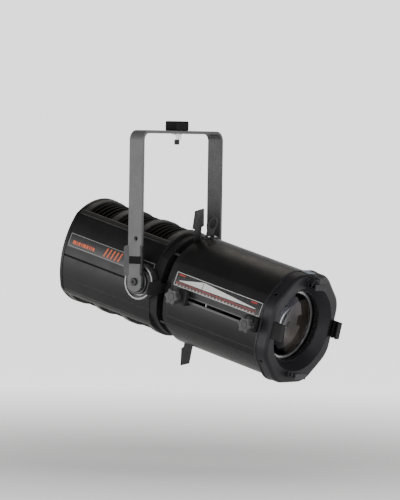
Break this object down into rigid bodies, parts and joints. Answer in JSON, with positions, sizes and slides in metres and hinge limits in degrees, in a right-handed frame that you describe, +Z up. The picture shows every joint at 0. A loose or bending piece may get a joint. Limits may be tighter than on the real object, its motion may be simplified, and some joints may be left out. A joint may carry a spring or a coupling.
{
  "type": "ellipsoidal spotlight",
  "caption": "Black ellipsoidal profile spotlight in a U-shaped yoke, with finned lamp house, framing shutters, sliding lenses and a front colour-frame holder.",
  "frame": {"origin": "centre of the hanging shoe's top face, where the clamp's bolt enters", "axes": "+Z up along the hanging bolt; +X the way the lens end points, seen from above; +Y along the tilt pivot"},
  "size_m": [0.7181, 0.342, 0.5847],
  "materials": {
    "yoke_grey": "satin powder coat",
    "black_satin": "satin powder coat",
    "black_matt": "matt heat-proof coat",
    "frame_grey": "cast, lightly coated",
    "ring_grey": "satin powder coat",
    "clip_grey": "satin",
    "bright_aluminium": "turned",
    "zinc_steel": "zinc plated",
    "blade_steel": "rolled stainless sheet",
    "black_plastic": "fine textured",
    "blackened_steel": "blackened",
    "knob_grey": "moulded",
    "friction_fibre": "pressed fibre",
    "label_black": "printed, semi-gloss",
    "reflector_mirror": "polished",
    "lens_glass": "polished, coated",
    "lamp_glass": "clear quartz",
    "ceramic_white": "matt"
  },
  "bodies": {
    "hanger": {"hanging_shoe": "black_satin", "hanging_bolt": "black_satin", "hanging_washer": "zinc_steel", "hanging_nut": "zinc_steel"},
    "yoke": {"yoke_strap": "yoke_grey", "leg_bands": "black_plastic", "tilt_plates": "blackened_steel", "friction_pads": "friction_fibre", "pivot_screw_near": "blackened_steel", "pivot_stud_far": "blackened_steel"},
    "tilt_lock": {"tilt_lock_knob": "black_plastic"},
    "lamp_centring": {"lamp_centring_knob": "black_plastic"},
    "pattern": {"pattern_holder": "black_matt"},
    "top_shutter": {"shutter_top": "black_plastic"},
    "bottom_shutter": {"shutter_bottom": "black_plastic"},
    "near_shutter": {"shutter_near": "black_plastic"},
    "far_shutter": {"shutter_far": "black_plastic"},
    "rear_focus": {"rear_lens_carriage": "black_matt", "rear_lens": "lens_glass", "rear_lens_ring": "bright_aluminium", "rear_slider": "black_plastic"},
    "front_focus": {"front_lens_carriage": "black_matt", "front_lens": "lens_glass", "front_lens_ring": "bright_aluminium", "front_slider": "black_plastic"},
    "rear_knob": {"rear_star_knob": "knob_grey"},
    "front_knob": {"front_star_knob": "knob_grey"},
    "latch": {"frame_latch": "blackened_steel"},
    "head": {"body_frames": "frame_grey", "bottom_louvres": "black_matt", "bracket_screws": "zinc_steel", "cable_gland": "black_plastic", "focus_rails": "blackened_steel", "frame_clips": "clip_grey", "front_barrel": "black_satin", "front_bulkhead": "black_matt", "front_ring": "ring_grey", "gate_front_flange": "black_matt", "gate_plate": "blade_steel", "gate_posts": "blackened_steel", "gate_rear_flange": "black_matt", "label_plates": "label_black", "lamp": "lamp_glass", "lamp_socket": "ceramic_white", "lamp_tray": "black_satin", "latch_pin": "blackened_steel", "pattern_bracket": "black_satin", "pivot_supports": "bright_aluminium", "rear_cap": "black_satin", "rear_cap_screws": "zinc_steel", "reflector": "reflector_mirror", "reflector_ring": "bright_aluminium", "ring_screws": "blackened_steel", "side_panel_far": "black_satin", "side_panel_near": "black_satin", "tilt_discs": "bright_aluminium", "top_clip": "ring_grey", "top_louvres": "black_matt", "zoom_scale_plate": "label_black"}
  },
  "joints": [
    {"name": "pan", "type": "hinge", "parent": "hanger", "child": "yoke", "pos_m": [0, 0, 0], "axis": [0, 0, 1], "range_deg": [-170, 170]},
    {"name": "tilt", "type": "hinge", "parent": "yoke", "child": "head", "pos_m": [0, 0, -0.367], "axis": [0, 1, 0], "range_deg": [-58, 74]},
    {"name": "tilt_lock_turn", "type": "hinge", "parent": "yoke", "child": "tilt_lock", "pos_m": [0, 0.155, -0.367], "axis": [0, 1, 0], "range_deg": [-180, 180]},
    {"name": "lamp_centring_turn", "type": "hinge", "parent": "head", "child": "lamp_centring", "pos_m": [-0.25935, 0, -0.29945], "axis": [0.9677, 0, -0.2521], "range_deg": [-180, 180]},
    {"name": "pattern_slide", "type": "slide", "parent": "head", "child": "pattern", "axis": [0.2521, 0, 0.9677], "range_m": [0, 0.1]},
    {"name": "top_shutter_slide", "type": "slide", "parent": "head", "child": "top_shutter", "axis": [0.2466, -0.2079, 0.9466], "range_m": [-0.045, 0.004]},
    {"name": "bottom_shutter_slide", "type": "slide", "parent": "head", "child": "bottom_shutter", "axis": [-0.2496, 0.1392, -0.9583], "range_m": [-0.04, 0.009]},
    {"name": "near_shutter_slide", "type": "slide", "parent": "head", "child": "near_shutter", "axis": [0, -1, 0], "range_m": [-0.017, 0.032]},
    {"name": "far_shutter_slide", "type": "slide", "parent": "head", "child": "far_shutter", "axis": [0, 1, 0], "range_m": [-0.035, 0.014]},
    {"name": "rear_lens_slide", "type": "slide", "parent": "head", "child": "rear_focus", "axis": [0.9677, 0, -0.2521], "range_m": [0, 0.09]},
    {"name": "front_lens_slide", "type": "slide", "parent": "head", "child": "front_focus", "axis": [0.9677, 0, -0.2521], "range_m": [-0.09, 0]},
    {"name": "rear_knob_turn", "type": "hinge", "parent": "rear_focus", "child": "rear_knob", "pos_m": [0.11419, -0.14, -0.39674], "axis": [0, 1, 0], "range_deg": [-180, 180]},
    {"name": "front_knob_turn", "type": "hinge", "parent": "front_focus", "child": "front_knob", "pos_m": [0.32515, -0.14, -0.4517], "axis": [0, 1, 0], "range_deg": [-180, 180]},
    {"name": "latch_turn", "type": "hinge", "parent": "head", "child": "latch", "pos_m": [0.4135, 0, -0.34657], "axis": [0, -1, 0], "range_deg": [0, 95]}
  ]
}
